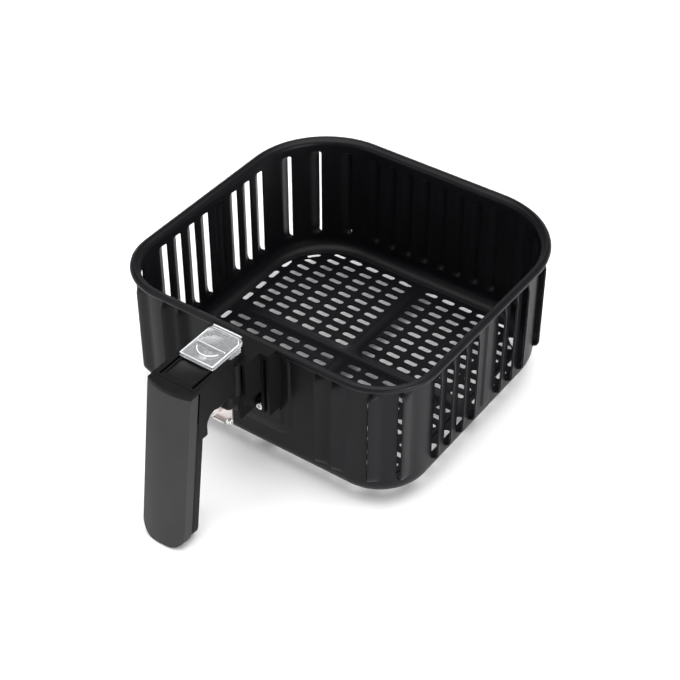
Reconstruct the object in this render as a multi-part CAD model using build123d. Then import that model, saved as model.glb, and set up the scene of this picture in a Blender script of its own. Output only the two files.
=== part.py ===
from build123d import *
import math
import os

os.makedirs("parts", exist_ok=True)

# Own frame: origin at the middle of the basket's underside, +X to the right,
# +Y to the back, -Y to the handle, +Z up. Millimetres.

# ---- basket pan ------------------------------------------------------------
WALL_X = 109.5            # outer face of the side walls
WALL_Y = 105.5            # outer face of the front and back walls
FRONT_R = 36.0            # plan radius of the two front corners, outside
BACK_R = 56.0             # the back corners are rounder
RIM_Z = 95.0              # top of the rolled rim
LIP = 4.8                 # how far the rim turns out past the wall
LIP_T = 2.4               # depth of the rolled lip
SHEET = 1.2               # steel thickness
BASE_R = 10.0             # bottom edge radius, outside
PRESS = 0.8               # height of the pressed floor panels
BOSS = 1.2                # height of the pressed wall panels

# ---- floor slots -----------------------------------------------------------
SLOT_L = 10.5
SLOT_W = 4.4
COL_0 = 11.4              # first column and row of slots from the floor's middle
ROW_0 = 8.75
COL_PITCH = 14.5
ROW_PITCH = 8.9
COLS = 6
ROWS = 10
OUTER_ROWS = 8            # the outermost column stops short of the corner
EDGE_X = 97.0             # column of slots turned across, along each side
EDGE_PITCH = 15.6
CORNER_SLOT = (85.5, 78.5)

# ---- wall louvres ----------------------------------------------------------
LOUVRE_W = 8.5            # slot width in the wall
LOUVRE_H = 73.0
LOUVRE_Z = 49.5           # middle height of every louvre
HOOD_RUN = 7.0            # how much of the slot the bent flap covers
HOOD_OUT = 4.5            # how far the flap's free edge stands off the wall
SIDE_PITCH = 14.65
SIDE_FIRST = 16.0         # nearest side louvre to the middle, either way
BACK_PITCH = 14.15
FRONT_LOUVRES = (54.0, 66.5)        # from the middle of the front wall
FRONT_CORNER = (27.5, 58.0)         # degrees round the corner from the front wall
BACK_CORNER = (20.0, 43.5, 66.5)    # degrees round the corner from the back wall

# ---- handle ----------------------------------------------------------------
TOP_Z = 105.0             # top of the handle's arm
ARM_HALF = 16.5
ARM_Z = 80.0              # underside of the arm
FRONT_Y = -182.4          # front edge of the arm's top
CAP_Y = -178.0            # seam between the end cap and the arm's top
CAP_T = 3.0               # depth of the end cap
ARM_BACK_Y = -143.0       # where the arm narrows to the guard's deck
KNEE_Y = -170.0           # back of the knee where the arm turns down into the grip
NECK_Y = -160.0           # front of the neck under the arm
NECK_Z = 74.0             # underside of the neck in front of its foot
FOOT_Z = (65.0, 77.0)     # underside and top of the foot
FOOT_HALF = 15.8          # half width of the swollen foot of the neck
FOOT_Y = -148.0           # front of the foot
BLOCK_Y = -134.0          # front of the bracket's middle block
LEAN = 8.6                # forward lean of the grip, degrees
GRIP_L = 117.0
COVER_T = 7.0             # depth of the front cover at its sides
COVER_BULGE = 3.0
TRIM_T = 1.6              # the seam strip between cover and shell
SHELL_T = 6.6             # depth of the rear shell at its sides
SHELL_BULGE = 5.0
GAP = 0.3                 # air between parts that move past each other

# ---- guard, button and latch ----------------------------------------------
GUARD_HALF = 12.7
GUARD_Y = (-157.6, -127.6)
GUARD_Z = 108.0
SKIRT = 1.0
BUTTON_HALF = 9.8
BUTTON_Y = (-173.0, -158.2)
BUTTON_Z = 104.3
LEDGE_Z = 91.6            # the shelf the button's spring stands on
PIVOT_Y = -146.0
PIVOT_Z = 87.0
PIN_R = 1.5
PLATE_HALF = 9.5          # half width of the steel catch plate
STEM_Y = -165.0
LATCH_Y = -136.0
LATCH_Z = 48.0            # height of the catch plate's rivets
CATCH_Z = (45.5, 63.5)    # bottom and top of the catch plate
BEND_Z = (58.0, 60.5)     # where the lever steps back to the catch plate

# ---- bracket on the front wall ---------------------------------------------
WALL_FACE = -WALL_Y - BOSS          # where the bracket sits on the front wall
BRACKET_BOTTOM = 46.5
PLATE_BOTTOM = 43.5       # the screwed plate hangs a little lower than the ribs
BRACKET_TOP = 91.5        # underside of the bracket's top plate
WING_HALF = 24.0          # half width of the low wings
WING_Y = -119.0
BLOCK_HALF = 17.5         # half width of the deep middle block
PLATE_T = 2.5             # thickness of the screwed plate
SCREW_X = 14.3
SCREW_Z = 48.5
SCREW_SEAT = -115.5       # where the heads of the bracket's screws bear
SCREW_HOLE_R = 2.1
DRAW_SCREW_Z = (70.0, 84.0)         # screws drawing the neck to the bracket
DRAW_SCREW_R = 1.55


def box(x0, x1, y0, y1, z0, z1):
    """A block between two corners."""
    centre = ((x0 + x1) / 2, (y0 + y1) / 2, (z0 + z1) / 2)
    return Pos(*centre) * Box(x1 - x0, y1 - y0, z1 - z0)


def both_sides(shape):
    """The shape and its mirror image across the middle plane."""
    return [shape, mirror(shape, about=Plane.YZ)]


def joined(shapes):
    """Several solids fused into one."""
    first, *rest = shapes
    return first.fuse(*rest) if rest else first


def cylinder_along(axis, centre, radius, length):
    """A plain cylinder lying along X, Y or Z."""
    turn = {"X": Rot(0, 90, 0), "Y": Rot(90, 0, 0), "Z": Rot(0, 0, 0)}[axis]
    return Pos(*centre) * turn * Cylinder(radius, length)


def plan(inset):
    """The basket's outline seen from above, pulled in by inset."""
    outline = Rectangle(2 * (WALL_X - inset), 2 * (WALL_Y - inset))
    outline = fillet(outline.vertices().sort_by(Axis.Y)[:2], FRONT_R - inset)
    return fillet(outline.vertices().sort_by(Axis.Y)[-2:], BACK_R - inset)


def pan(inset, floor_z):
    """The basket's outline as a solid, pulled in by inset, standing on floor_z."""
    body = extrude(Pos(0, 0, floor_z) * plan(inset), RIM_Z - floor_z)
    bottom = body.edges().group_by(Axis.Z)[0]
    return fillet(bottom, BASE_R - inset)


def rim():
    """The lip rolled outward round the top."""
    ring = extrude(Pos(0, 0, RIM_Z - LIP_T) * (plan(-LIP) - plan(SHEET)), LIP_T)
    outer_edges = [e for e in ring.edges().group_by(Axis.Z)[-1] if e.bounding_box().size.X > 0]
    top_outside = sorted(outer_edges, key=lambda e: -max(abs(e.center().X), abs(e.center().Y)))
    return fillet(top_outside[:4], 1.0)


def floor_slots():
    """Every slot in the floor as one flat sketch."""
    across = SlotOverall(SLOT_L, SLOT_W)
    spots = []
    for side_x in (-1, 1):
        for side_y in (-1, 1):
            for col in range(COLS):
                rows = OUTER_ROWS if col == COLS - 1 else ROWS
                for row in range(rows):
                    x = side_x * (COL_0 + col * COL_PITCH)
                    y = side_y * (ROW_0 + row * ROW_PITCH)
                    spots.append(Location((x, y, 0)))
            for step in range(4):
                y = side_y * (ROW_0 + 4 + step * EDGE_PITCH)
                spots.append(Location((side_x * EDGE_X, y, 0), (0, 0, 90)))
            corner = (side_x * CORNER_SLOT[0], side_y * CORNER_SLOT[1], 0)
            spots.append(Location(corner, (0, 0, -45 * side_x * side_y)))
    return Sketch() + [spot * across for spot in spots]


def pressed_panels():
    """The four rounded floor panels left standing between the cross channels."""
    half_x = COL_PITCH * (COLS - 0.5) + 12.0
    half_y = ROW_PITCH * (ROWS - 0.5) + 2.0
    width = half_x - 4.5
    depth = half_y - 3.2
    panels = []
    for side_x in (-1, 1):
        for side_y in (-1, 1):
            centre = (side_x * (4.5 + width / 2), side_y * (3.2 + depth / 2), 0)
            panels.append(Pos(*centre) * RectangleRounded(width, depth, 12))
    return (Sketch() + panels) & plan(BASE_R + 0.5)


def wall_spot(x, y, facing):
    """A place on the wall: local X runs anticlockwise, local Z points outward."""
    out = Vector(math.cos(math.radians(facing)), math.sin(math.radians(facing)), 0)
    along = Vector(-out.Y, out.X, 0)
    return Plane(origin=(x, y, LOUVRE_Z), x_dir=along, z_dir=out)


def corner_spot(side_x, side_y, degrees):
    """A place on a corner, measured round from the front or back wall."""
    turn = math.radians(degrees)
    radius = FRONT_R if side_y < 0 else BACK_R
    out = (side_x * math.sin(turn), side_y * math.cos(turn))
    x = side_x * (WALL_X - radius) + radius * out[0]
    y = side_y * (WALL_Y - radius) + radius * out[1]
    return wall_spot(x, y, math.degrees(math.atan2(out[1], out[0])))


def louvre_spots():
    """Every louvre's place round the walls."""
    spots = []
    side_steps = [SIDE_FIRST + n * SIDE_PITCH for n in range(3)]
    side_rows = side_steps + [-s for s in side_steps] + [-(SIDE_FIRST + 3 * SIDE_PITCH)]
    for y in side_rows:
        spots.append(wall_spot(WALL_X, y, 0))
        spots.append(wall_spot(-WALL_X, y, 180))
    for n in range(8):
        spots.append(wall_spot((n - 3.5) * BACK_PITCH, WALL_Y, 90))
    for side_x in (-1, 1):
        spots += [wall_spot(side_x * x, -WALL_Y, -90) for x in FRONT_LOUVRES]
        spots += [corner_spot(side_x, -1, degrees) for degrees in FRONT_CORNER]
        spots += [corner_spot(side_x, 1, degrees) for degrees in BACK_CORNER]
    return spots


def louvre_cut(spot):
    """The slot through the wall."""
    outline = SlotOverall(LOUVRE_H, LOUVRE_W, rotation=90)
    return extrude(spot * outline, 3, both=True)


def louvre_hood(spot):
    """The bent flap: a wedge of sheet closed at both ends, open on one side."""
    hinge = LOUVRE_W / 2 + 1.0
    free = LOUVRE_W / 2 - HOOD_RUN
    outer = Polyline((hinge, -0.6), (hinge, 0), (free, HOOD_OUT), (free, -0.6), close=True)
    inner_pts = [(hinge - 2.2, -0.7), (free - 0.1, HOOD_OUT - 1.1), (free - 0.1, -0.7)]
    inner = Polyline(*inner_pts, close=True)
    # the wedge's section lies flat, its local Y pointing out of the wall
    section = Plane(origin=spot.origin, x_dir=spot.x_dir, z_dir=Vector(0, 0, -1))
    solid = extrude(section * make_face(outer), LOUVRE_H / 2, both=True)
    hollow = extrude(section * make_face(inner), LOUVRE_H / 2 - 1.2, both=True)
    return solid - hollow


def wall_pads(depth):
    """The pressed panel on the front wall and the wide rib on each side, from a depth in the wall."""
    def pad(plane, width, height, mid_z, radius):
        outline = Pos(0, mid_z - LOUVRE_Z) * RectangleRounded(width, height, radius)
        return extrude(plane * outline, BOSS)

    front = wall_spot(0, -WALL_Y + depth, -90)
    pads = [pad(front, 56, 66, 56.5, 9)]
    for side, facing in ((1, 0), (-1, 180)):
        pads.append(pad(wall_spot(side * (WALL_X - depth), 0, facing), 11, 74, 49.5, 3))
    return pads


def basket():
    """The pressed steel pan with its rim, floor slots and louvres."""
    body = pan(0, 0) - pan(SHEET, SHEET)
    body = body.fuse(rim())
    panels = pressed_panels()
    body = body.fuse(extrude(Pos(0, 0, SHEET - 0.1) * panels, PRESS + 0.1))
    body = body.cut(extrude(Pos(0, 0, -0.1) * offset(panels, -0.6), PRESS + 0.1))
    body = body.fuse(*wall_pads(0))
    body = body.cut(*wall_pads(SHEET + 0.01))
    body = body.cut(extrude(Pos(0, 0, -1) * floor_slots(), 4))
    spots = louvre_spots()
    body = body.cut(*[louvre_cut(spot) for spot in spots])
    body = body.fuse(*[louvre_hood(spot) for spot in spots])
    holes = [cylinder_along("Y", (s * SCREW_X, -WALL_Y, SCREW_Z), SCREW_HOLE_R, 8) for s in (-1, 1)]
    return body.cut(*holes)


def draw_screw_holes(depth):
    """The blind holes for the screws between neck and bracket."""
    return [cylinder_along("Y", (0, depth, z), DRAW_SCREW_R + 0.05, 14) for z in DRAW_SCREW_Z]


def bracket():
    """The moulded block screwed to the front wall that carries the handle."""
    pieces = [
        box(-WING_HALF, WING_HALF, WING_Y, WALL_FACE, BRACKET_TOP, RIM_Z),
        box(-BLOCK_HALF, BLOCK_HALF, BLOCK_Y, WALL_FACE, BRACKET_TOP, RIM_Z),
        box(-WING_HALF, WING_HALF, WALL_FACE - PLATE_T, WALL_FACE, PLATE_BOTTOM, RIM_Z),
        box(-11, 11, BLOCK_Y + 3, WALL_FACE, 62, RIM_Z),
    ]
    pieces += both_sides(box(11, BLOCK_HALF, SCREW_SEAT, WALL_FACE, PLATE_BOTTOM, SCREW_Z + 5))
    long_ribs = [(WING_HALF - 1, WING_Y), (BLOCK_HALF + 1, WING_Y), (10, BLOCK_Y + 2)]
    short_ribs = [(BLOCK_HALF - 1, BLOCK_Y)]
    for ribs, low in ((long_ribs, BRACKET_BOTTOM), (short_ribs, 64)):
        for x, front in ribs:
            pieces += both_sides(box(x - 1, x + 1, front, WALL_FACE, low, RIM_Z - 1))
    body = joined(pieces)
    # the lip of the rim turns over the wall just above the bracket's back edge
    body = body - box(-30, 30, -WALL_Y - LIP - 0.2, -100, RIM_Z - LIP_T - 0.4, 110)
    holes = [cylinder_along("Y", (s * SCREW_X, WALL_FACE, SCREW_Z), SCREW_HOLE_R, 20) for s in (-1, 1)]
    return body.cut(*holes, *draw_screw_holes(-128))


def pan_screw(centre, length, head_r, shank_r):
    """A cross-recess screw pointing to the back, head towards the handle."""
    x, y, z = centre
    head = cylinder_along("Y", (x, y - 1.1, z), head_r, 2.2)
    head = fillet(head.edges().group_by(Axis.Y)[0], 0.9)
    shank = cylinder_along("Y", (x, y + length / 2, z), shank_r, length)
    cross = [Pos(x, y - 2.2, z) * Box(head_r, 2.0, 0.9), Pos(x, y - 2.2, z) * Box(0.9, 2.0, head_r)]
    return head.fuse(shank).cut(*cross)


def bracket_screws():
    """The two screws holding the bracket to the basket."""
    return [pan_screw((s * SCREW_X, SCREW_SEAT, SCREW_Z), 14.8, 2.9, 1.95) for s in (-1, 1)]


def bracket_nuts():
    """The two flanged nuts inside the front wall."""
    nuts = []
    inside = -WALL_Y + SHEET
    for side in (-1, 1):
        place = Pos(side * SCREW_X, inside + 0.05, SCREW_Z) * Rot(-90, 0, 0)
        flange = extrude(Circle(5.0), 0.8)
        body = extrude(RegularPolygon(4.0, 6), 3.2).fuse(flange)
        nuts.append(place * (body - Cylinder(2.0, 10)))
    return nuts


def grip_plane():
    """The grip's own frame: local Z runs down the grip, local Y forward."""
    lean = math.radians(LEAN)
    down = Vector(0, -math.sin(lean), -math.cos(lean))
    return Plane(origin=(0, FRONT_Y, TOP_Z), x_dir=Vector(1, 0, 0), z_dir=down)


def bowed(start, end, bulge):
    """A side from start to end, swelling out in Y at its middle, or straight."""
    if bulge == 0:
        return Line(start, end)
    return ThreePointArc(start, (0, start[1] + bulge), end)


def grip_slice(half, front, back, front_bulge=0, back_bulge=0):
    """Cross-section of the grip, its front and back faces bowed or flat."""
    front_left, front_right = (-half, front), (half, front)
    back_left, back_right = (-half, back), (half, back)
    face = bowed(front_left, front_right, front_bulge)
    palm = bowed(back_right, back_left, -back_bulge)
    sides = [Line(front_right, back_right), Line(back_left, front_left)]
    return make_face(Curve() + [face, sides[0], palm, sides[1]])


def grip_piece(section, start, length, corner_r):
    """A length of the grip with its two lower corners rounded."""
    plane = grip_plane()
    piece = extrude(plane.offset(start) * section, length)
    tip = piece.faces().sort_by(Axis.Z)[0]
    corners = [e for e in tip.edges() if abs(e.center().X) > 15]
    return fillet(corners, corner_r)


def grip_cover():
    """The soft dark front cover, stopping just under the end cap."""
    section = grip_slice(ARM_HALF, 0, -COVER_T, front_bulge=COVER_BULGE)
    piece = grip_piece(section, -4, GRIP_L + 4, 11)
    return piece - box(-40, 40, -230, -100, TOP_Z - CAP_T, TOP_Z + 40)


def grip_trim():
    """The thin strip seen as a pair of seams between cover and shell."""
    section = grip_slice(ARM_HALF - 0.3, -COVER_T - 0.03, -COVER_T - TRIM_T + 0.03)
    return grip_piece(section, 24, GRIP_L - 25.5, 10.5)


def rear_grip():
    """The grip's rear half, bowed toward the palm."""
    section = grip_slice(ARM_HALF - 0.2, -COVER_T - TRIM_T, -COVER_T - SHELL_T, back_bulge=SHELL_BULGE)
    return grip_piece(section, 24, GRIP_L - 27, 9)


def button_well():
    """The space the button, its spring and the lever work in."""
    half = BUTTON_HALF + GAP
    well = box(-half, half, BUTTON_Y[0] - GAP, BUTTON_Y[1] + GAP, LEDGE_Z, TOP_Z + 1)
    stem_hole = cylinder_along("Z", (0, STEM_Y, LEDGE_Z), 3.0, 6)
    lever_room = box(-6, 6, -170, -140, ARM_Z + 2.5, LEDGE_Z - 1.4)
    hub_room = box(-10, 10, -151, BLOCK_Y - 1, 79, LEDGE_Z - 1.4)
    drop = box(-10, 10, FOOT_Y + 2.4, BLOCK_Y - 1, 40, 80)
    detent_bed = box(-3.2, 3.2, -154.6, -143.8, TOP_Z - 0.9, TOP_Z + 1)
    return [well, stem_hole, lever_room, hub_room, drop, detent_bed]


def cover_space():
    """Everything in front of the shell: the cover, the trim and the end cap."""
    section = grip_slice(40, 30, -COVER_T - TRIM_T)
    space = extrude(grip_plane().offset(-20) * section, GRIP_L + 60)
    return space - box(-50, 50, CAP_Y, 0, TOP_Z - CAP_T, 140)


def neck():
    """The hollow neck under the arm, with a round column at each side and a swollen foot."""
    post = box(-14.5, 14.5, NECK_Y, BLOCK_Y - 0.02, NECK_Z, TOP_Z - 3)
    post = fillet(post.edges().filter_by(Axis.Z), 5)
    post = fillet(post.edges().group_by(Axis.Z)[0], 3)
    columns = both_sides(cylinder_along("Z", (13.4, BLOCK_Y - 4, 86), 3.2, 24))
    foot = box(-FOOT_HALF, FOOT_HALF, FOOT_Y, BLOCK_Y - 0.5, *FOOT_Z)
    return joined([post, *columns, fillet(foot.edges(), 4)])


def handle_arm():
    """One moulding: the arm, the neck down to the latch and the rear of the grip."""
    arm = box(-ARM_HALF, ARM_HALF, CAP_Y + 0.02, ARM_BACK_Y, ARM_Z, TOP_Z)
    inner = GUARD_HALF - SKIRT - GAP
    deck = box(-inner + 0.1, inner - 0.1, ARM_BACK_Y - 0.5, -126, RIM_Z + 0.2, TOP_Z)
    knee = box(-ARM_HALF, ARM_HALF, CAP_Y + 0.02, KNEE_Y, 66, 90)
    bend = arm.fuse(knee)
    inside = [e for e in bend.edges().filter_by(Axis.X) if abs(e.center().Z - ARM_Z) < 0.1]
    bend = fillet([e for e in inside if abs(e.center().Y - KNEE_Y) < 0.1], 8)
    body = joined([bend, neck(), deck, rear_grip()])
    body = body.cut(cover_space())
    grooves = both_sides(box(inner, GUARD_HALF + GAP, CAP_Y + 2, -120, TOP_Z - 4.6, TOP_Z + 1))
    body = body.cut(*button_well(), *grooves)
    pin_hole = cylinder_along("X", (0, PIVOT_Y, PIVOT_Z), PIN_R, 25)
    return body.cut(pin_hole, *draw_screw_holes(-134))


def top_cap():
    """The narrow strip closing the arm's top behind the cover."""
    section = grip_slice(ARM_HALF, 0, -20, front_bulge=COVER_BULGE)
    blank = extrude(grip_plane().offset(-8) * section, 30)
    return blank & box(-40, 40, -230, CAP_Y, TOP_Z - CAP_T + 0.02, TOP_Z)


def button_guard():
    """The clear sliding guard with its thumb dish and rear rib."""
    y0, y1 = GUARD_Y
    lid = box(-GUARD_HALF, GUARD_HALF, y0, y1, TOP_Z + GAP, GUARD_Z)
    lid = fillet(lid.edges().filter_by(Axis.Z), 2.0)
    rib = box(-GUARD_HALF + 2.2, GUARD_HALF - 2.2, y1 - 2.2, y1 + 1.5, TOP_Z + GAP, GUARD_Z + 1.6)
    rib = chamfer(rib.edges().filter_by(Axis.Z), 1.2)
    mid_y = (y0 + y1) / 2 - 1.0
    ball_r = 40.0
    dish = Pos(0, mid_y, GUARD_Z + ball_r - 1.6) * Sphere(ball_r)
    bridge = box(-9.8, 9.8, mid_y - 0.8, mid_y + 0.8, TOP_Z + 1.0, GUARD_Z + 0.3)
    skirts = both_sides(box(GUARD_HALF - SKIRT, GUARD_HALF, y0 + 2, y1 - 3, TOP_Z - 3.6, TOP_Z + 1.5))
    return (lid - dish).fuse(rib, bridge, *skirts)


def guard_detent():
    """The little leaf spring that holds the guard at either end."""
    strip = box(-3, 3, -154.4, -144, TOP_Z - 0.9, TOP_Z - 0.5)
    crest = Pos(0, -149, TOP_Z - 2.0) * Rot(0, 90, 0) * Cylinder(2.0, 6)
    crest = crest & box(-3, 3, -153, -145, TOP_Z - 0.9, TOP_Z + 0.1)
    return strip.fuse(crest)


def release_button():
    """The square button: a shallow-dished cap on a stem."""
    cap = box(-BUTTON_HALF, BUTTON_HALF, BUTTON_Y[0], BUTTON_Y[1], 99.5, BUTTON_Z)
    cap = fillet(cap.edges().filter_by(Axis.Z), 1.5)
    dish = Pos(0, sum(BUTTON_Y) / 2, BUTTON_Z + 59.1) * Sphere(60)
    stem = cylinder_along("Z", (0, STEM_Y, 94.5), 2.6, 10.3)
    return (cap - dish).fuse(stem)


def coil(radius, wire, pitch, height):
    """An open coil standing on its end."""
    path = Helix(pitch, height, radius)
    start = Plane(origin=path @ 0, z_dir=path % 0)
    return sweep(start * Circle(wire), path)


def button_spring():
    """The coil under the button."""
    return Pos(0, STEM_Y, LEDGE_Z + 0.6) * coil(4.6, 0.5, 1.6, 6.7)


def latch_lever():
    """The steel bell crank: pushed by the button, its lower end carries the hook."""
    y, z = PIVOT_Y, PIVOT_Z
    hub = cylinder_along("X", (0, y, z), 3.0, 9)
    arm = box(-4.5, 4.5, STEM_Y - 2, y, z - 1.0, z + 1.0)
    toe = cylinder_along("X", (0, STEM_Y, z + 0.9), 1.4, 9)
    drop = box(-4.5, 4.5, y + 1.5, y + 4.5, 60, z)
    bend = box(-4.5, 4.5, y + 1.5, LATCH_Y, *BEND_Z)
    shin = box(-4.5, 4.5, LATCH_Y - 1.2, LATCH_Y, CATCH_Z[0], BEND_Z[1])
    body = joined([hub, arm, toe, drop, bend, shin])
    return body - cylinder_along("X", (0, y, z), PIN_R + 0.05, 20)


def latch_pin():
    """The cross pin the lever turns on."""
    return cylinder_along("X", (0, PIVOT_Y, PIVOT_Z), PIN_R, 24)


def latch_plate():
    """The steel catch plate seen under the neck."""
    front, back = LATCH_Y - 2.4, LATCH_Y - 1.2
    plate = box(-PLATE_HALF, PLATE_HALF, front, back, *CATCH_Z)
    hook = box(-4.5, 4.5, LATCH_Y - 4.4, back, CATCH_Z[0], CATCH_Z[0] + 1.2)
    slot = box(-4.55, 4.55, front - 1, back + 1, BEND_Z[0] - 0.05, BEND_Z[1] + 0.05)
    return plate.fuse(hook) - slot


def latch_rivets():
    """The two bright rivets in the catch plate."""
    rivets = []
    for side in (-1, 1):
        head = cylinder_along("Y", (side * 7.2, LATCH_Y - 3.2, LATCH_Z), 2.0, 1.6)
        rivets.append(fillet(head.edges().group_by(Axis.Y)[0], 0.7))
    return rivets


def latch_spring():
    """The coil on the cross pin that returns the lever."""
    return Pos(5.2, PIVOT_Y, PIVOT_Z) * Rot(0, 90, 0) * coil(2.6, 0.4, 1.1, 3.6)


def handle_screws():
    """Two long screws drawing the neck against the bracket."""
    return [cylinder_along("Y", (0, -129.5, z), DRAW_SCREW_R, 15) for z in DRAW_SCREW_Z]


def grip_screws():
    """Three screws from the palm side into the front cover."""
    plane = grip_plane()
    screws = []
    for down in (40, 72, 104):
        spot = plane.offset(down)
        head = spot * Pos(0, -COVER_T - SHELL_T - 4.2, 0) * Rot(90, 0, 0) * Cylinder(2.6, 1.8)
        shank = spot * Pos(0, -COVER_T - 6.5, 0) * Rot(90, 0, 0) * Cylinder(1.2, 9)
        screws.append(head.fuse(shank))
    return screws


def save(name, made):
    """Write one sub-part; a list is kept as a group of separate solids."""
    shape = Compound(children=list(made)) if isinstance(made, list) else made
    export_step(shape, f"parts/{name}.step")


arm = handle_arm()
screws = grip_screws()
arm = arm.cut(*screws)
cover = grip_cover().cut(*screws)
trim = grip_trim().cut(*screws)

save("basket", basket())
save("handle_bracket", bracket())
save("bracket_screws", bracket_screws())
save("bracket_nuts", bracket_nuts())
save("handle_arm", arm)
save("grip_cover", cover)
save("grip_trim", trim)
save("top_cap", top_cap())
save("grip_screws", screws)
save("handle_screws", handle_screws())
save("button_guard", button_guard())
save("guard_detent", guard_detent())
save("release_button", release_button())
save("button_spring", button_spring())
save("latch_lever", latch_lever())
save("latch_pin", latch_pin())
save("latch_plate", latch_plate())
save("latch_rivets", latch_rivets())
save("latch_spring", latch_spring())
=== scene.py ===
import math

import bmesh
import bpy
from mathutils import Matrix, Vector


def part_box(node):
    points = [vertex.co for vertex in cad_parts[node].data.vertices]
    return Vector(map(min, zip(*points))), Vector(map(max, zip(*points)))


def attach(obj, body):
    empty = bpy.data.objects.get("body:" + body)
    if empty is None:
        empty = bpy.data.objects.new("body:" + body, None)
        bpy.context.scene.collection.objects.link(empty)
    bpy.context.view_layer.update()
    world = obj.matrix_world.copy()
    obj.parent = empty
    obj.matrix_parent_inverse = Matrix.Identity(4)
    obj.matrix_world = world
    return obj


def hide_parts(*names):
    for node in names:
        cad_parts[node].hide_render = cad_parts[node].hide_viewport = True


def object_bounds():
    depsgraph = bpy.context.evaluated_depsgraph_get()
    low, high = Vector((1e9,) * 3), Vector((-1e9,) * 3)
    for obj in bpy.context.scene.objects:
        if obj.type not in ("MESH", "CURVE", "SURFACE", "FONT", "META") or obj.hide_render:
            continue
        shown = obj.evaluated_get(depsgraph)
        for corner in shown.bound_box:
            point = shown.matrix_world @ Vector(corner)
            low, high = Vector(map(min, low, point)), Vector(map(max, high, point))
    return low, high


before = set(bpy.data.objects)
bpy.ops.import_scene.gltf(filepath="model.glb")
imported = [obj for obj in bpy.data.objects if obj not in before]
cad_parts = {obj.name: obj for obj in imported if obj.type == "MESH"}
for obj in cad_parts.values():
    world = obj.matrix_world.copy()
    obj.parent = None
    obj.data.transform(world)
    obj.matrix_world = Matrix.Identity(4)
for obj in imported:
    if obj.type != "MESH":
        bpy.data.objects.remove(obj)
cad_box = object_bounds()

MM = 0.001

# ---- basket pan, from the frame's own box -----------------------------------
PAN_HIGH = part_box("basket")[1]
LIP = 4.8 * MM                      # how far the rolled rim stands out from the wall
WALL_X = PAN_HIGH.x - LIP           # outer faces of the wall
WALL_Y = PAN_HIGH.y - LIP
RIM_Z = PAN_HIGH.z
FRONT_R = 36 * MM                   # plan radius of the front corners
BACK_R = 56 * MM                    # the back corners are rounder
BASE_R = 10 * MM                    # curve from wall to floor
SHEET = 1.1 * MM                    # thickness of the pressed steel
FRONT_HALF = WALL_X - FRONT_R       # half the straight run of the front wall
BACK_HALF = WALL_X - BACK_R
SIDE_LOW = FRONT_R - WALL_Y         # where the straight side walls begin and end
SIDE_HIGH = WALL_Y - BACK_R
FRONT_ARC = FRONT_R * math.pi / 2
BACK_ARC = BACK_R * math.pi / 2

# ---- rolled rim -----------------------------------------------------------------
RIM_DEPTH = 4.6 * MM                # height over which the wall turns out into the rim
FLARE_R = 2.4 * MM                  # bend from the wall into the rim
CURL_R = 1.3 * MM                   # rolled outer edge

# ---- louvres --------------------------------------------------------------------
LOUVRE_W = 8.5 * MM
LOUVRE_H = 73 * MM
LOUVRE_Z = 49.5 * MM                # height of a louvre's middle
HOOD_OUT = 4.4 * MM                 # how far a flap's free edge stands out
HOOD_END = 6 * MM                   # length over which a flap closes at each end
HINGE = LOUVRE_W / 2 + 1.0 * MM     # where the flap leaves the wall, from the louvre's middle
FREE = LOUVRE_W / 2 - 7.0 * MM      # the flap's free edge
SIDE_PITCH = 14.65 * MM
SIDE_FIRST = 16 * MM                # first louvre from the middle of a side
SIDE_COUNT = 3                      # louvres each way from a side's middle, one more to the front
BACK_PITCH = 14.15 * MM
BACK_COUNT = 8
FRONT_LOUVRES = (54 * MM, 66.5 * MM)
FRONT_CORNER = (27.5, 58.0)         # louvres round a corner, in degrees from its straight wall
BACK_CORNER = (20.0, 43.5, 66.5)

# ---- shapes pressed into the walls ------------------------------------------------
FRONT_PANEL_Z = 55.5 * MM
# half width, half height, corner radius and rise of the front panel's two steps
FRONT_STEPS = ((30.5 * MM, 34.5 * MM, 10 * MM, 0.7 * MM), (24.5 * MM, 31 * MM, 7 * MM, 0.5 * MM))
SIDE_RIB = (5.5 * MM, 37 * MM, 3 * MM, 1.2 * MM)
STEP_RUN = 2 * MM                   # width of a pressed step's slope

# ---- slotted floor ----------------------------------------------------------------
SLOT_L = 10.5 * MM
SLOT_W = 4.4 * MM
COL_0 = 11.4 * MM                   # first column and row from the middle
ROW_0 = 8.75 * MM
COL_PITCH = 14.5 * MM
ROW_PITCH = 8.9 * MM
COLS = 6
ROWS = 10
OUTER_ROWS = 8                      # the outermost column is shorter
EDGE_X = 97 * MM                    # slots along each side's edge
EDGE_Y = ROW_0 + 4 * MM
EDGE_PITCH = 15.6 * MM
EDGE_COUNT = 4
CORNER_SLOT = (85.5 * MM, 78.5 * MM)
PUNCH_Z = (-3 * MM, 6 * MM)         # the slot punch passes well through the floor
PRESS = 0.8 * MM                    # rise of the four floor panels
PANEL_X = 91.75 * MM
PANEL_Y = 92.0 * MM
PANEL_GAP_X = 4.5 * MM              # half widths of the cross channel
PANEL_GAP_Y = 3.2 * MM
PANEL_SLOPE = 1.2 * MM
PANEL_R = 12 * MM                   # corners along the channels
PANEL_INNER_R = 9 * MM              # corner at the middle of the floor
PANEL_BACK_R = 38 * MM              # outer corners follow the pan's
PANEL_FRONT_R = 20 * MM
QUARTERS = [(-1, -1), (-1, 1), (1, -1), (1, 1)]         # signs of x and y in each quarter of the floor

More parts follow.
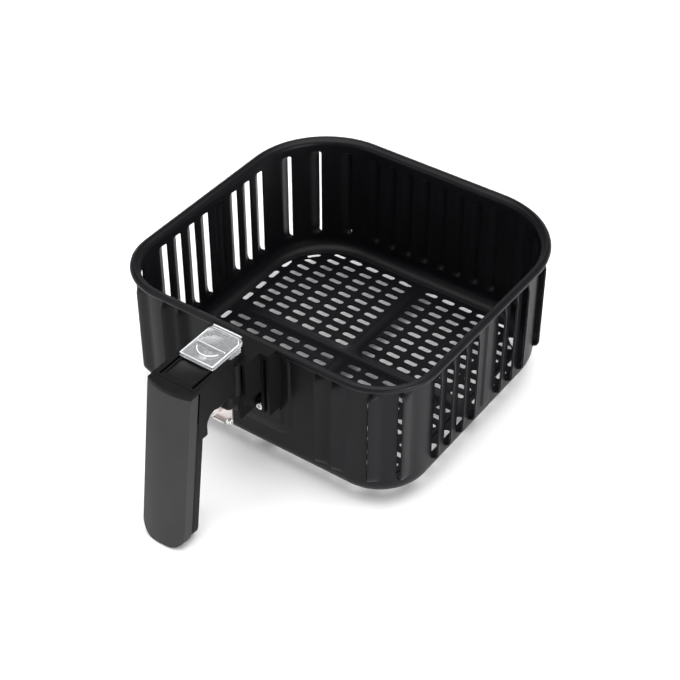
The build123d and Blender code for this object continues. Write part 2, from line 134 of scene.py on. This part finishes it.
# ---- studio -----------------------------------------------------------------------
# brightness of the room by direction: 0 is level and everything below, 1 is straight up
SKY_STOPS = [(0.0, 0.25), (0.12, 0.25), (0.3, 0.03), (0.78, 0.03), (0.92, 1.0)]
SKY_STRENGTH = 5.0
SUBJECT = (0, -30 * MM, 40 * MM)    # where both soft boxes point
VIEW_TARGET = Vector((-14.54 * MM, 11.14 * MM, 0))
VIEW_AZIMUTH = math.radians(35.24)
VIEW_ELEVATION = math.radians(40.18)
VIEW_DISTANCE = 1164 * MM
LENS = 87.9                         # focal length and sensor width, millimetres
SENSOR = 36


# ---- shader writing ----------------------------------------------------------
class Wire:
    """A value in a node tree, joined to others by plain arithmetic."""

    def __init__(self, nodes, socket):
        self.nodes = nodes
        self.socket = socket

    def reckon(self, operation, other):
        """The result of one sum with another wire or a plain number."""
        return self.nodes.node("ShaderNodeMath", {"operation": operation}, {0: self, 1: other})

    def __add__(self, other):
        return self.reckon("ADD", other)

    def __mul__(self, other):
        return self.reckon("MULTIPLY", other)

    __radd__ = __add__
    __rmul__ = __mul__


class Nodes:
    """A node tree being wired up."""

    def __init__(self, tree):
        self.tree = tree

    def node(self, kind, settings, sockets, out=0):
        """One node: its settings go in first, then the values or links of its sockets."""
        made = self.tree.nodes.new(kind)
        for name, value in settings.items():
            if name == "stops":
                self.fill_ramp(made.color_ramp, value)
            else:
                setattr(made, name, value)
        for name, value in sockets.items():
            self.feed(made.inputs[name], value)
        return Wire(self, made.outputs[out])

    def fill_ramp(self, ramp, stops):
        """Grey stops, each a place and a level."""
        while len(ramp.elements) < len(stops):
            ramp.elements.new(0.5)
        for element, (place, level) in zip(ramp.elements, stops):
            element.position = place
            element.color = (level, level, level, 1)

    def feed(self, socket, value):
        """Link a wire to a socket, or set its value."""
        if isinstance(value, Wire):
            self.tree.links.new(value.socket, socket)
        else:
            socket.default_value = value


class Paint(Nodes):
    """One material being mixed."""

    def __init__(self, name):
        self.material = bpy.data.materials.new(name)
        self.material.use_nodes = True
        super().__init__(self.material.node_tree)
        self.shader = self.tree.nodes["Principled BSDF"]
        self.place = self.node("ShaderNodeTexCoord", {}, {}, "Object")

    def set(self, **values):
        """Feed what varies over the surface."""
        for name, value in values.items():
            self.feed(self.shader.inputs[name.replace("_", " ").title()], value)

    def fixed(self, name, value):
        """Set what is the same all over."""
        self.shader.inputs[name].default_value = value

    def noise(self, scale, detail=3.0, where=None):
        """Soft random variation, finer with a larger scale."""
        sockets = {"Vector": where or self.place, "Scale": scale, "Detail": detail, "Roughness": 0.55}
        return self.node("ShaderNodeTexNoise", {}, sockets, "Fac")

    def stretched(self, x, y, z):
        """The place on the object, with each direction scaled for drawn-out grain."""
        return self.node("ShaderNodeMapping", {}, {"Vector": self.place, "Scale": (x, y, z)})

    def ramp(self, value, stops):
        return self.node("ShaderNodeValToRGB", {"stops": stops}, {"Fac": value})

    def mix(self, share, first, second):
        """A colour between two."""
        sockets = {0: share, 6: (*first, 1), 7: (*second, 1)}
        return self.node("ShaderNodeMix", {"data_type": "RGBA"}, sockets, 2)

    def bump(self, height, strength, depth):
        sockets = {"Height": height, "Strength": strength, "Distance": depth}
        return self.node("ShaderNodeBump", {}, sockets)


def nonstick_coating():
    """Black baked coating: satin, faintly pebbled, a little worn to grey."""
    p = Paint("nonstick_coating")
    cloud = p.noise(18, 4)
    grain = p.noise(900, 2)
    pebble = p.noise(2600, 2)
    p.set(base_color=p.mix(cloud, (0.0024, 0.0024, 0.0032), (0.0052, 0.0052, 0.0066)))
    p.set(roughness=0.32 + cloud * 0.08 + grain * 0.08)
    p.set(normal=p.bump(pebble * 0.5 + grain * 0.5, 0.45, 0.16 * MM))
    p.fixed("Specular IOR Level", 0.13)
    return p.material


def black_moulding():
    """Fine spark-eroded black plastic."""
    p = Paint("black_moulding")
    cloud = p.noise(40, 3)
    grain = p.noise(2200, 2)
    p.set(base_color=p.mix(cloud, (0.0026, 0.0026, 0.0028), (0.0056, 0.0056, 0.006)))
    p.set(roughness=0.44 + grain * 0.14)
    p.set(normal=p.bump(grain, 0.3, 0.1 * MM))
    p.fixed("Specular IOR Level", 0.1)
    return p.material


def soft_grip():
    """Dark grey soft coating with faint brushing across the grip."""
    p = Paint("soft_grip")
    streak = p.noise(260, 3, p.stretched(0.35, 1, 9))
    cloud = p.noise(30, 3)
    grain = p.noise(3000, 2)
    p.set(base_color=p.mix(streak * 0.6 + cloud * 0.4, (0.011, 0.0105, 0.011), (0.036, 0.0345, 0.035)))
    p.set(roughness=0.56 + streak * 0.14)
    p.set(normal=p.bump(streak * 0.7 + grain * 0.3, 0.35, 0.14 * MM))
    p.fixed("Specular IOR Level", 0.25)
    return p.material


def button_black():
    """Satin black button cap."""
    p = Paint("button_black")
    grain = p.noise(1800, 2)
    p.set(base_color=p.mix(p.noise(60), (0.0022, 0.0022, 0.0022), (0.0048, 0.0048, 0.005)))
    p.set(roughness=0.34 + grain * 0.12)
    p.set(normal=p.bump(grain, 0.2, 0.08 * MM))
    p.fixed("Specular IOR Level", 0.25)
    return p.material


def clear_plastic(name, transmission, rough, dull, bright):
    """Moulded guard plastic, slightly milky and scuffed."""
    p = Paint(name)
    scuff = p.noise(420, 4)
    p.set(base_color=p.mix(scuff, dull, bright))
    p.set(roughness=rough + p.ramp(scuff, [(0.55, 0.0), (0.75, 1.0)]) * 0.1)
    p.set(normal=p.bump(p.noise(60, 2), 0.05, 0.2 * MM))
    p.fixed("Transmission Weight", transmission)
    p.fixed("IOR", 1.49)
    return p.material


def steel(name, dark, light, rough):
    """Bare or plated steel with fine drawn lines."""
    p = Paint(name)
    lines = p.noise(700, 3, p.stretched(1, 1, 0.06))
    tarnish = p.noise(120, 4)
    p.set(base_color=p.mix(tarnish * 0.7 + lines * 0.3, dark, light))
    p.set(roughness=rough + lines * 0.12)
    p.set(normal=p.bump(lines, 0.15, 0.06 * MM))
    p.fixed("Metallic", 1.0)
    return p.material


def floor_paint():
    """Pale studio floor."""
    p = Paint("studio_floor")
    p.set(base_color=p.mix(p.noise(3, 2), (0.90, 0.90, 0.90), (0.93, 0.93, 0.93)))
    p.set(roughness=0.9 + p.noise(60) * 0.05)
    p.fixed("Specular IOR Level", 0.1)
    return p.material


COATING = nonstick_coating()
MOULDING = black_moulding()
GRIP = soft_grip()
BUTTON = button_black()
CLEAR = clear_plastic("clear_plastic", 0.8, 0.04, (0.80, 0.81, 0.82), (0.92, 0.93, 0.94))
# painted highlight: a pale, nearly opaque copy of the guard plastic for the tubes that stand in for light
# caught in the guard's edges
CLEAR_PAINTED_HIGHLIGHT = clear_plastic("clear_painted_highlight", 0.1, 0.15, (0.86, 0.88, 0.9), (0.95, 0.96, 0.97))
BRIGHT = steel("bright_steel", (0.62, 0.62, 0.63), (0.80, 0.80, 0.81), 0.18)
PLATE = steel("plate_steel", (0.55, 0.50, 0.48), (0.78, 0.73, 0.71), 0.28)
DARK = steel("dark_steel", (0.16, 0.16, 0.17), (0.26, 0.26, 0.27), 0.4)


# ---- mesh helpers --------------------------------------------------------------
def piece(name, mesh, material, body, replaced=()):
    """Wrap a finished mesh as a piece of the object."""
    made = bpy.data.objects.new(name, mesh)
    bpy.context.scene.collection.objects.link(made)
    mesh.materials.clear()
    mesh.materials.append(material)
    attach(made, body)
    if replaced:
        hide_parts(*replaced)
    return made


def smooth(made, degrees):
    """Round shading with crisp edges kept where faces turn sharply."""
    for face in made.data.polygons:
        face.use_smooth = True
    limit = math.radians(degrees)
    work = bmesh.new()
    work.from_mesh(made.data)
    for edge in work.edges:
        edge.smooth = not edge.is_manifold or edge.calc_face_angle(0) < limit
    work.to_mesh(made.data)
    work.free()
    return made


def modifier(made, kind, **settings):
    """Add one modifier with its settings."""
    added = made.modifiers.new(kind.lower(), kind)
    for name, value in settings.items():
        setattr(added, name, value)


def soften(made, width, degrees):
    """Round over the edges sharper than an angle."""
    limit = math.radians(degrees)
    modifier(made, "BEVEL", width=width, segments=2, limit_method="ANGLE", angle_limit=limit)


def curve_mesh(curve):
    """The mesh a curve draws."""
    holder = bpy.data.objects.new(curve.name, curve)
    mesh = bpy.data.meshes.new_from_object(holder)
    bpy.data.objects.remove(holder)
    return mesh


def curve_line(curve, points, closed):
    """Add one straight-sided line to a curve."""
    spline = curve.splines.new("POLY")
    spline.points.add(len(points) - 1)
    for point, place in zip(spline.points, points):
        point.co = (*place, 1)
    spline.use_cyclic_u = closed


def grid_mesh(name, rows, closed=True, keep=lambda row, col: True):
    """A skin over rows of points; keep says which quads stay."""
    count = len(rows[0])
    points = [p for row in rows for p in row]
    quads = []
    last = count if closed else count - 1
    for r in range(len(rows) - 1):
        for c in range(last):
            if keep(r, c):
                n = (c + 1) % count
                quads.append((r * count + c, r * count + n, (r + 1) * count + n, (r + 1) * count + c))
    mesh = bpy.data.meshes.new(name)
    mesh.from_pydata(points, [], quads)
    work = bmesh.new()
    work.from_mesh(mesh)
    bmesh.ops.delete(work, geom=[v for v in work.verts if not v.link_faces], context="VERTS")
    work.to_mesh(mesh)
    work.free()
    return mesh


# ---- the pan's outline ------------------------------------------------------------
# a place on the wall is its distance anticlockwise from the middle of the right wall
BACK_START = SIDE_HIGH + BACK_ARC
BACK_MIDDLE = BACK_START + BACK_HALF
BACK_END = BACK_START + 2 * BACK_HALF
LEFT_MIDDLE = BACK_END + BACK_ARC + SIDE_HIGH
FRONT_START = LEFT_MIDDLE - SIDE_LOW + FRONT_ARC
FRONT_MIDDLE = FRONT_START + FRONT_HALF
FRONT_END = FRONT_START + 2 * FRONT_HALF
ROUND = FRONT_END + FRONT_ARC - SIDE_LOW
SIDE_MIDDLES = (0.0, LEFT_MIDDLE)

# each run of the wall: length, where it starts or its centre, facing, corner radius
RUNS = [
    (SIDE_HIGH, (WALL_X, 0), 0, 0),
    (BACK_ARC, (BACK_HALF, SIDE_HIGH), 0, BACK_R),
    (2 * BACK_HALF, (BACK_HALF, WALL_Y), 90, 0),
    (BACK_ARC, (-BACK_HALF, SIDE_HIGH), 90, BACK_R),
    (SIDE_HIGH - SIDE_LOW, (-WALL_X, SIDE_HIGH), 180, 0),
    (FRONT_ARC, (-FRONT_HALF, SIDE_LOW), 180, FRONT_R),
    (2 * FRONT_HALF, (-FRONT_HALF, -WALL_Y), 270, 0),
    (FRONT_ARC, (FRONT_HALF, SIDE_LOW), 270, FRONT_R),
    (-SIDE_LOW, (WALL_X, SIDE_LOW), 0, 0),
]


def wall_at(place):
    """The point and outward direction at a distance round the wall."""
    left = place % ROUND
    for length, (x, y), facing, radius in RUNS:
        if left <= length:
            break
        left -= length
    turn = math.radians(facing) + (left / radius if radius else 0)
    out = Vector((math.cos(turn), math.sin(turn), 0))
    along = Vector((-out.y, out.x, 0))
    return Vector((x, y, 0)) + (out * radius if radius else along * left), out


def louvre_places():
    """Distance round the wall of every louvre's middle."""
    steps = [SIDE_FIRST + n * SIDE_PITCH for n in range(SIDE_COUNT + 1)]
    places = []
    for y in steps[:-1] + [-s for s in steps]:
        places += [y % ROUND, LEFT_MIDDLE - y]
    places += [BACK_MIDDLE + (n - (BACK_COUNT - 1) / 2) * BACK_PITCH for n in range(BACK_COUNT)]
    for x in FRONT_LOUVRES:
        places += [FRONT_MIDDLE - x, FRONT_MIDDLE + x]
    for degrees in FRONT_CORNER:
        arc = FRONT_R * math.radians(degrees)
        places += [FRONT_START - arc, FRONT_END + arc]
    for degrees in BACK_CORNER:
        arc = BACK_R * math.radians(degrees)
        places += [BACK_START - arc, BACK_END + arc]
    return sorted(places)


def step(value):
    """Ease from 0 to 1."""
    t = min(1.0, max(0.0, value))
    return t * t * (3 - 2 * t)


def round_box(along, up, half_along, half_up, radius):
    """Signed distance to a rounded rectangle, negative inside."""
    x = abs(along) - half_along + radius
    y = abs(up) - half_up + radius
    outside = math.hypot(max(x, 0), max(y, 0))
    return outside + min(max(x, y), 0) - radius


def nearest(place, centre):
    """Shortest way round the wall from centre to place."""
    gap = (place - centre) % ROUND
    return gap - ROUND if gap > ROUND / 2 else gap


def hood_lift(offset, height):
    """How far a louvre's flap stands off the wall."""
    if not FREE - 1e-6 <= offset <= HINGE:
        return 0.0
    across = (HINGE - offset) / (HINGE - FREE)
    end = (abs(height - LOUVRE_Z) - (LOUVRE_H / 2 - HOOD_END)) / HOOD_END
    if end >= 1:
        return 0.0
    cap = math.sqrt(1 - max(0.0, end) ** 2)
    eased = 0.45
    return HOOD_OUT * cap * ((1 - eased) * across + eased * step(across))


def raised(along, up, shape):
    """Rise of one rounded pressing, from the distances to its middle."""
    *outline, rise = shape
    return rise * step(-round_box(along, up, *outline) / STEP_RUN)


def pressed_lift(place, height):
    """The two-step panel behind the handle and the wide rib on each side."""
    lift = sum(raised(nearest(place, FRONT_MIDDLE), height - FRONT_PANEL_Z, shape) for shape in FRONT_STEPS)
    lift += sum(raised(nearest(place, centre), height - LOUVRE_Z, SIDE_RIB) for centre in SIDE_MIDDLES)
    return lift


def wall_profile():
    """Offset from the wall's outer face and height, from the floor's edge up over the rim."""
    base_steps, wall_steps, flare_steps, curl_steps = 8, 56, 5, 6
    points = []
    for n in range(base_steps + 1):
        turn = math.radians(90 * n / base_steps)
        points.append((-BASE_R + BASE_R * math.sin(turn), BASE_R - BASE_R * math.cos(turn)))
    low, high = BASE_R, RIM_Z - RIM_DEPTH
    points += [(0.0, low + (high - low) * n / wall_steps) for n in range(1, wall_steps + 1)]
    for n in range(1, flare_steps + 1):
        turn = math.radians(90 * n / flare_steps)
        points.append((FLARE_R - FLARE_R * math.cos(turn), high + FLARE_R * math.sin(turn)))
    curl_x, curl_z = LIP - CURL_R, RIM_Z - SHEET - CURL_R
    for n in range(curl_steps + 1):
        turn = math.radians(90 - 180 * n / curl_steps)
        points.append((curl_x + CURL_R * math.cos(turn), curl_z + CURL_R * math.sin(turn)))
    return points


def wall_columns(louvres):
    """Distances round the wall where the skin has a line of points."""
    flap_steps, even_steps, margin = 6, 260, 0.6 * MM
    flap = [FREE + (HINGE - FREE) * n / flap_steps for n in range(flap_steps + 1)]
    near = [-LOUVRE_W / 2 - margin, -LOUVRE_W / 2, *flap]
    columns = {round((centre + offset) % ROUND, 6) for centre in louvres for offset in near}
    panel_slopes = [half - n * 0.7 * MM for half, *_ in FRONT_STEPS for n in range(4)]
    rib_slope = [SIDE_RIB[0] - n * MM for n in range(3)]
    edges = [FRONT_MIDDLE + side * reach for side in (-1, 1) for reach in panel_slopes]
    edges += [centre + side * reach for centre in SIDE_MIDDLES for side in (-1, 1) for reach in rib_slope]
    low, high = -LOUVRE_W / 2 - 2 * margin, HINGE + margin
    for place in edges + [ROUND * n / even_steps for n in range(even_steps)]:
        if not any(low < nearest(place, centre) < high for centre in louvres):
            columns.add(round(place % ROUND, 6))
    return sorted(columns)


def pan_wall():
    """Wall, bottom curve and rolled rim in one pressed skin, with its louvres."""
    louvres = louvre_places()
    columns = wall_columns(louvres)
    profile = wall_profile()
    owner = [min(louvres, key=lambda c: abs(nearest(place, c))) for place in columns]
    rows = []
    for offset, height in profile:
        row = []
        for place, centre in zip(columns, owner):
            spot, out = wall_at(place)
            lift = 0.0
            if offset == 0.0:
                lift = hood_lift(nearest(place, centre), height) + pressed_lift(place, height)
            row.append(spot + out * (offset + lift) + Vector((0, 0, height)))
        rows.append(row)

    def keep(row, col):
        here = nearest(columns[col], owner[col])
        beyond = nearest(columns[(col + 1) % len(columns)], owner[col])
        if not (-LOUVRE_W / 2 - 1e-5 <= here and beyond <= FREE + 1e-5):
            return True
        middle = (profile[row][1] + profile[row + 1][1]) / 2
        return abs(middle - LOUVRE_Z) > LOUVRE_H / 2 - 1 * MM

    skin = grid_mesh("pan_wall", rows, True, keep)
    made = piece("pan_wall", skin, COATING, "basket", ["basket"])
    modifier(made, "SOLIDIFY", thickness=SHEET, offset=-1, use_even_offset=True)
    soften(made, 0.25 * MM, 60)
    return smooth(made, 50)


# ---- the pan's floor -----------------------------------------------------------------
def obround(x, y, turn=0.0):
    """Outline of one floor slot."""
    r = SLOT_W / 2
    reach = SLOT_L / 2 - r
    outline = []
    for end, first in ((1, -90), (-1, 90)):
        for n in range(7):
            a = math.radians(first + 30 * n)
            outline.append((end * reach + r * math.cos(a), r * math.sin(a)))
    c, s = math.cos(turn), math.sin(turn)
    return [(x + px * c - py * s, y + px * s + py * c) for px, py in outline]


def arcs(corners, steps):
    """Outline through quarter-round corners, each a centre, a radius and its first facing."""
    outline = []
    for x, y, radius, first in corners:
        for n in range(steps + 1):
            a = math.radians(first + 90 * n / steps)
            outline.append((x + radius * math.cos(a), y + radius * math.sin(a)))
    return outline


def pan_outline(inset):
    """The pan seen from above, pulled in by inset."""
    return arcs([
        (FRONT_HALF, SIDE_LOW, FRONT_R - inset, -90),
        (BACK_HALF, SIDE_HIGH, BACK_R - inset, 0),
        (-BACK_HALF, SIDE_HIGH, BACK_R - inset, 90),
        (-FRONT_HALF, SIDE_LOW, FRONT_R - inset, 180),
    ], 14)


def flat_sheet(name, outlines, height):
    """A flat sheet inside the first outline, open inside the others."""
    curve = bpy.data.curves.new(name, "CURVE")
    curve.dimensions = "2D"
    curve.fill_mode = "BOTH"
    for outline in outlines:
        curve_line(curve, [(x, y, 0) for x, y in outline], closed=True)
    mesh = curve_mesh(curve)
    for vertex in mesh.vertices:
        vertex.co.z = height
    return mesh


def panel_outline(side_x, side_y, grow=0.0):
    """One of the four pressed panels, its far corner following the pan's."""
    x0, y0 = PANEL_GAP_X - grow, PANEL_GAP_Y - grow
    x1, y1 = PANEL_X + grow, PANEL_Y + grow
    outer = PANEL_BACK_R if side_y > 0 else PANEL_FRONT_R
    outline = arcs([
        (x1 - PANEL_R, y0 + PANEL_R, PANEL_R, -90),
        (x1 - outer, y1 - outer, outer, 0),
        (x0 + PANEL_R, y1 - PANEL_R, PANEL_R, 90),
        (x0 + PANEL_INNER_R, y0 + PANEL_INNER_R, PANEL_INNER_R, 180),
    ], 10)
    return [(side_x * x, side_y * y) for x, y in outline]


def floor_slots():
    """Every slot in the floor."""
    slots = []
    for x, y in QUARTERS:
        for col in range(COLS):
            across = x * (COL_0 + col * COL_PITCH)
            rows = OUTER_ROWS if col == COLS - 1 else ROWS
            slots += [obround(across, y * (ROW_0 + row * ROW_PITCH)) for row in range(rows)]
        slots += [obround(x * EDGE_X, y * (EDGE_Y + n * EDGE_PITCH), math.pi / 2) for n in range(EDGE_COUNT)]
        slots.append(obround(x * CORNER_SLOT[0], y * CORNER_SLOT[1], -x * y * math.pi / 4))
    return slots


def panel_edge(side_x, side_y):
    """The sloping edge between a pressed panel and the channel."""
    rows = []
    slope_steps = 4
    for n in range(slope_steps + 1):
        share = n / slope_steps
        height = SHEET + PRESS * (1 - step(share))
        outline = panel_outline(side_x, side_y, share * PANEL_SLOPE)
        rows.append([Vector((x, y, height)) for x, y in outline])
    return grid_mesh("panel_edge", rows)


def joined_mesh(name, meshes):
    """Several meshes as one, with shared edges stitched."""
    work = bmesh.new()
    for mesh in meshes:
        work.from_mesh(mesh)
    bmesh.ops.remove_doubles(work, verts=work.verts, dist=0.02 * MM)
    bmesh.ops.recalc_face_normals(work, faces=work.faces)
    work.normal_update()
    if sum(face.normal.z * face.calc_area() for face in work.faces) < 0:
        bmesh.ops.reverse_faces(work, faces=work.faces)
    made = bpy.data.meshes.new(name)
    work.to_mesh(made)
    work.free()
    return made


def slot_punch():
    """One tool with a pin for every slot."""
    work = bmesh.new()
    for outline in floor_slots():
        low, high = ([work.verts.new((x, y, z)) for x, y in outline] for z in PUNCH_Z)
        work.faces.new(low[::-1])
        work.faces.new(high)
        for n, start in enumerate(low):
            m = (n + 1) % len(low)
            work.faces.new((start, low[m], high[m], high[n]))
    mesh = bpy.data.meshes.new("slot_punch")
    work.to_mesh(mesh)
    work.free()
    made = bpy.data.objects.new("slot_punch", mesh)
    bpy.context.scene.collection.objects.link(made)
    return made


def settled(made):
    """Write a piece's modifiers into its mesh."""
    graph = bpy.context.evaluated_depsgraph_get()
    mesh = bpy.data.meshes.new_from_object(made.evaluated_get(graph))
    made.modifiers.clear()
    made.data = mesh


def pan_floor():
    """The floor: four raised panels round the cross channel, punched with slots."""
    outer = pan_outline(BASE_R - 0.4 * MM)
    margin = flat_sheet("margin", [outer] + [panel_outline(*side, PANEL_SLOPE) for side in QUARTERS], SHEET)
    panels = [flat_sheet("panel", [panel_outline(*side)], SHEET + PRESS) for side in QUARTERS]
    edges = [panel_edge(*side) for side in QUARTERS]
    mesh = joined_mesh("pan_floor", [margin, *panels, *edges])
    made = piece("pan_floor", mesh, COATING, "basket")
    punch = slot_punch()
    modifier(made, "SOLIDIFY", thickness=SHEET, offset=-1)
    modifier(made, "BOOLEAN", object=punch, operation="DIFFERENCE", solver="EXACT")
    settled(made)
    bpy.data.objects.remove(punch)
    return smooth(made, 40)


# ---- CAD pieces that stay, with softened edges ---------------------------------------
def finish_node(name, material, width):
    """Soften a CAD node's edges and give it its material."""
    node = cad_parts[name]
    node.data.materials.clear()
    node.data.materials.append(material)
    modifier(node, "WELD", merge_threshold=0.01 * MM)
    soften(node, width * MM, 35)


# each node's finish, and the width in millimetres of its softened edges
NODE_FINISH = {
    "handle_bracket": (MOULDING, 0.4),
    "bracket_screws": (BRIGHT, 0.15),
    "bracket_nuts": (BRIGHT, 0.15),
    "handle_arm": (MOULDING, 0.5),
    "grip_cover": (GRIP, 1.2),
    "grip_trim": (MOULDING, 0.2),
    "top_cap": (MOULDING, 0.4),
    "grip_screws": (DARK, 0.1),
    "handle_screws": (DARK, 0.1),
    "button_guard": (CLEAR, 0.25),
    "guard_detent": (BRIGHT, 0.05),
    "release_button": (BUTTON, 0.3),
    "button_spring": (BRIGHT, 0.0),
    "latch_lever": (PLATE, 0.15),
    "latch_pin": (BRIGHT, 0.1),
    "latch_plate": (PLATE, 0.15),
    "latch_rivets": (BRIGHT, 0.1),
    "latch_spring": (BRIGHT, 0.0),
}


def guard_painted_highlights():
    """Painted highlights on the clear guard: bright tubes along its outline, front step, bar and the dish's
    front lip, standing in for light caught in its edges.
    """
    low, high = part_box("button_guard")
    inset = 0.5 * MM
    rib_step = 1.5 * MM             # the rear rib stands this far behind the lid
    top = high.z - 1.75 * MM
    x1 = high.x - inset
    y0 = low.y + inset
    y1 = high.y - rib_step - inset
    middle = (y0 + y1) / 2
    cut = 3.5 * MM                  # the lid's cut rear corners
    outline = [(-x1, y0), (x1, y0), (x1, y1 - cut), (x1 - cut, y1), (cut - x1, y1), (-x1, y1 - cut)]
    bar = x1 - 1.6 * MM
    dish = x1 - 3.4 * MM
    turns = [math.radians(205 + 10 * n) for n in range(14)]
    curve = bpy.data.curves.new("guard_painted_highlights", "CURVE")
    curve.dimensions = "3D"
    curve.bevel_depth = 0.38 * MM
    curve.bevel_resolution = 2
    curve_line(curve, [(x, y, top) for x, y in outline], True)
    curve_line(curve, [(x, y, top - 2.3 * MM) for x, y in outline], True)
    curve_line(curve, [(x, middle, top + 0.1 * MM) for x in (-bar, bar)], False)
    curve_line(curve, [(dish * math.cos(t), middle + dish * math.sin(t), top) for t in turns], False)
    curve_line(curve, [(x, y1 + 1.3 * MM, high.z - 0.2 * MM) for x in (-bar, bar)], False)
    return smooth(piece("guard_painted_highlights", curve_mesh(curve), CLEAR_PAINTED_HIGHLIGHT, "guard"), 60)


# ---- studio ---------------------------------------------------------------------------
def studio_floor():
    """A wide pale floor under the lowest point."""
    low = cad_box[0].z
    half = 4.0
    rows = [[Vector((x, y, low)) for x in (-half, 0, half)] for y in (-half, 0, half)]
    mesh = grid_mesh("studio_floor", rows, closed=False)
    mesh.materials.append(floor_paint())
    made = bpy.data.objects.new("studio_floor", mesh)
    bpy.context.scene.collection.objects.link(made)


def soft_box(name, where, size, power):
    """One square soft box, turned to the basket."""
    light = bpy.data.lights.new(name, "AREA")
    light.shape = "RECTANGLE"
    light.size = light.size_y = size
    light.energy = power
    made = bpy.data.objects.new(name, light)
    made.location = where
    made.rotation_euler = (Vector(SUBJECT) - Vector(where)).to_track_quat("-Z", "Y").to_euler()
    bpy.context.scene.collection.objects.link(made)


def studio_light():
    """A room bright overhead, dark above eye level and dim from level down."""
    world = bpy.data.worlds.new("studio")
    world.use_nodes = True
    sky = Nodes(world.node_tree)
    place = sky.node("ShaderNodeTexCoord", {}, {}, "Generated")
    height = sky.node("ShaderNodeSeparateXYZ", {}, {0: place}, "Z")
    glow = sky.node("ShaderNodeValToRGB", {"stops": SKY_STOPS}, {"Fac": height})
    background = sky.tree.nodes["Background"]
    sky.feed(background.inputs["Color"], glow)
    sky.feed(background.inputs["Strength"], SKY_STRENGTH)
    bpy.context.scene.world = world
    bpy.context.scene.view_settings.view_transform = "Standard"
    soft_box("front_left_box", (-0.7, -1.1, 0.5), 0.4, 3)
    soft_box("right_box", (1.1, -0.35, 0.3), 0.45, 11)


def camera():
    """The view over the right front corner."""
    level = math.cos(VIEW_ELEVATION)
    back = Vector((
        math.sin(VIEW_AZIMUTH) * level,
        -math.cos(VIEW_AZIMUTH) * level,
        math.sin(VIEW_ELEVATION),
    ))
    lens = bpy.data.cameras.new("camera")
    lens.sensor_width = SENSOR
    lens.lens = LENS
    made = bpy.data.objects.new("camera", lens)
    made.location = VIEW_TARGET + back * VIEW_DISTANCE
    made.rotation_euler = (-back).to_track_quat("-Z", "Y").to_euler()
    bpy.context.scene.collection.objects.link(made)
    bpy.context.scene.camera = made


pan_wall()
pan_floor()
for node_name, (finish_material, edge_width) in NODE_FINISH.items():
    finish_node(node_name, finish_material, edge_width)
guard_painted_highlights()
studio_floor()
studio_light()
camera()
